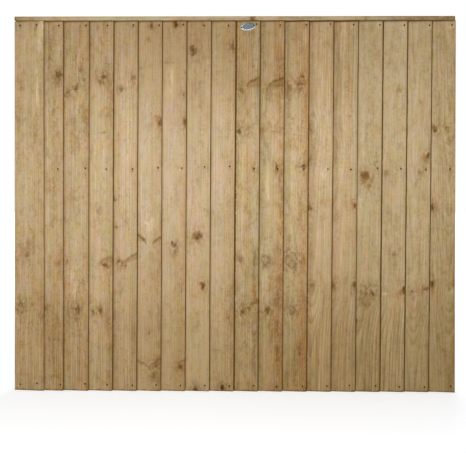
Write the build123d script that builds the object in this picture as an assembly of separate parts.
"""Feather-edge fence panel, 6 ft by 5 ft, in pressure-treated softwood.

Tapered boards stand side by side on a frame of two stiles and three rails, under a chamfered
cap. Each board's thin edge lies on the frame and its thick edge lies over the thin edge of the
next board, so every board leans on its neighbour by an angle worked out from its own section.

Lengths are in millimetres. +X runs along the panel in the order in which the boards are laid,
+Y points from the boarded face to the back, and +Z is up. The origin is on the left stile's
outer face, where the panel meets its post, at the middle of the stile's depth and at the foot.
"""

import math
import os

from build123d import *

# Whole panel
PANEL_WIDTH = 1828.0
PANEL_HEIGHT = 1552.0

# Frame at the back: stiles stand at the ends and the rails butt between them
STILE_WIDTH = 38.0
FRAME_DEPTH = 32.0
RAIL_HEIGHT = 44.0
MIDDLE_RAIL_CENTRE = 922.0
FRAME_ARRIS = 2.0

# Cap over the boards and the frame
CAP_THICKNESS = 17.0
CAP_CHAMFER_DROP = 4.0
CAP_CHAMFER_RUN = 6.0
CAP_FRONT_OVERHANG = 2.0
CAP_BACK_OVERHANG = 3.0

# Tapered boards
BOARD_WIDTH = 125.0
THICK_EDGE = 11.0
THIN_EDGE = 4.5
BOARD_ARRIS = 1.0
EDGE_INSET = 1.0
SEAT_CLEARANCE = 0.1

# How far each board laps over the next, at mid height. The first board is whole and laps
# widely, and the others are spread evenly at about the steady lap.
FIRST_LAP = 45.0
SECOND_LAP = 19.5
STEADY_LAP = 24.0
LAST_LAP = 21.5

# The boards fan out slightly: how far these two stand to the right at the head, and to the
# left at the foot, of where they stand at mid height
THIRD_FAN = 2.5
LAST_BUT_ONE_FAN = 6.0

# Worked out from the sizes above
BOARD_LENGTH = PANEL_HEIGHT - CAP_THICKNESS
FRAME_FRONT = -FRAME_DEPTH / 2
FRAME_BACK = FRAME_DEPTH / 2
TAPER = math.atan2(THICK_EDGE - THIN_EDGE, BOARD_WIDTH)
SECOND_X = EDGE_INSET + BOARD_WIDTH - FIRST_LAP
THIRD_X = SECOND_X + BOARD_WIDTH - SECOND_LAP
LAST_X = PANEL_WIDTH - EDGE_INSET - BOARD_WIDTH
LAST_BUT_ONE_X = LAST_X - BOARD_WIDTH + LAST_LAP
STEADY_STEPS = round((LAST_BUT_ONE_X - THIRD_X) / (BOARD_WIDTH - STEADY_LAP))


def thin_edges(third_shift, last_but_one_shift):
    """X of each board's thin edge at one height, where the fan shifts two boards by this much."""
    start = THIRD_X + third_shift
    pitch = (LAST_BUT_ONE_X + last_but_one_shift - start) / STEADY_STEPS
    steady = [start + pitch * step for step in range(STEADY_STEPS + 1)]
    return [EDGE_INSET, SECOND_X] + steady + [LAST_X]


HEAD_EDGES = thin_edges(THIRD_FAN, LAST_BUT_ONE_FAN)
FOOT_EDGES = thin_edges(-THIRD_FAN, -LAST_BUT_ONE_FAN)
BOARD_COUNT = len(HEAD_EDGES)


def lean_on(step, next_lean):
    """Lean of a board, in radians, whose thick edge rests on the front of the next board.

    The next board's thin edge stands this step further along and has a lean of its own.
    """
    lean = next_lean
    for _ in range(12):
        lap = BOARD_WIDTH * math.cos(lean) - step + THIN_EDGE * math.sin(next_lean)
        seat = THIN_EDGE * math.cos(next_lean) + lap * math.tan(next_lean + TAPER)
        lean = math.asin((seat + SEAT_CLEARANCE) / BOARD_WIDTH)
    return lean


def board_leans():
    """Lean of every board, worked back from the last one, which lies flat on the frame.

    A board bears where its lap is widest, so the shorter of its steps at head and foot counts.
    """
    leans = [0.0]
    for index in range(BOARD_COUNT - 2, -1, -1):
        head_step = HEAD_EDGES[index + 1] - HEAD_EDGES[index]
        foot_step = FOOT_EDGES[index + 1] - FOOT_EDGES[index]
        leans.insert(0, lean_on(min(head_step, foot_step), leans[0]))
    return leans


LEANS = board_leans()


def board_section(thin_x, lean):
    """Tapered section of a board, with its thin edge's back corner on the frame's front."""
    across = Vector(math.cos(lean), -math.sin(lean))
    outward = Vector(-math.sin(lean), -math.cos(lean))
    thin_back = Vector(thin_x, FRAME_FRONT)
    thick_back = thin_back + across * BOARD_WIDTH
    thick_front = thick_back + outward * THICK_EDGE
    thin_front = thin_back + outward * THIN_EDGE
    section = make_face(Polyline(thin_back, thick_back, thick_front, thin_front, close=True))
    arris = section.vertices().sort_by_distance(thick_front)[0]
    return fillet(arris, radius=BOARD_ARRIS)


def board(head_x, foot_x, lean):
    """One board: its section drawn at the foot and carried up to the head with the board's slope."""
    path = Vector(head_x - foot_x, 0, BOARD_LENGTH)
    return extrude(board_section(foot_x, lean), amount=path.length, dir=path.normalized())


def boards():
    """All the boards, by name."""
    return {
        f"board_{index + 1:02d}": board(HEAD_EDGES[index], FOOT_EDGES[index], LEANS[index])
        for index in range(BOARD_COUNT)
    }


def boards_stand_out():
    """How far the boards' faces stand out from the frame at the boldest board."""
    return max(BOARD_WIDTH * math.sin(lean) + THICK_EDGE * math.cos(lean) for lean in LEANS)


def stile(left_x):
    """An end post of the frame, from the foot to the underside of the cap."""
    centre = (left_x + STILE_WIDTH / 2, 0, BOARD_LENGTH / 2)
    body = Pos(*centre) * Box(STILE_WIDTH, FRAME_DEPTH, BOARD_LENGTH)
    back_edges = body.edges().filter_by(Axis.Z).group_by(Axis.Y)[-1]
    return chamfer(back_edges, FRAME_ARRIS)


def rail(centre_z):
    """A rail butted between the stiles, with its back arrises eased."""
    length = PANEL_WIDTH - 2 * STILE_WIDTH
    body = Pos(PANEL_WIDTH / 2, 0, centre_z) * Box(length, FRAME_DEPTH, RAIL_HEIGHT)
    back_edges = body.edges().filter_by(Axis.X).group_by(Axis.Y)[-1]
    return chamfer(back_edges, FRAME_ARRIS)


def cap():
    """The cap, seated on the boards, the stiles and the top rail, with its top arrises chamfered."""
    front = FRAME_FRONT - boards_stand_out() - CAP_FRONT_OVERHANG
    back = FRAME_BACK + CAP_BACK_OVERHANG
    shoulder = PANEL_HEIGHT - CAP_CHAMFER_DROP
    outline = Polyline(
        (0, front, BOARD_LENGTH),
        (0, back, BOARD_LENGTH),
        (0, back, shoulder),
        (0, back - CAP_CHAMFER_RUN, PANEL_HEIGHT),
        (0, front + CAP_CHAMFER_RUN, PANEL_HEIGHT),
        (0, front, shoulder),
        close=True,
    )
    return extrude(make_face(outline), amount=PANEL_WIDTH, dir=(1, 0, 0))


def frame():
    """The pieces behind the boards, by name."""
    return {
        "left_stile": stile(0),
        "right_stile": stile(PANEL_WIDTH - STILE_WIDTH),
        "bottom_rail": rail(RAIL_HEIGHT / 2),
        "middle_rail": rail(MIDDLE_RAIL_CENTRE),
        "top_rail": rail(BOARD_LENGTH - RAIL_HEIGHT / 2),
    }


def main():
    """Writes every piece of the panel to its own file."""
    os.makedirs("parts", exist_ok=True)
    pieces = {**frame(), **boards(), "cap": cap()}
    for name, solid in pieces.items():
        export_step(solid, f"parts/{name}.step")


main()
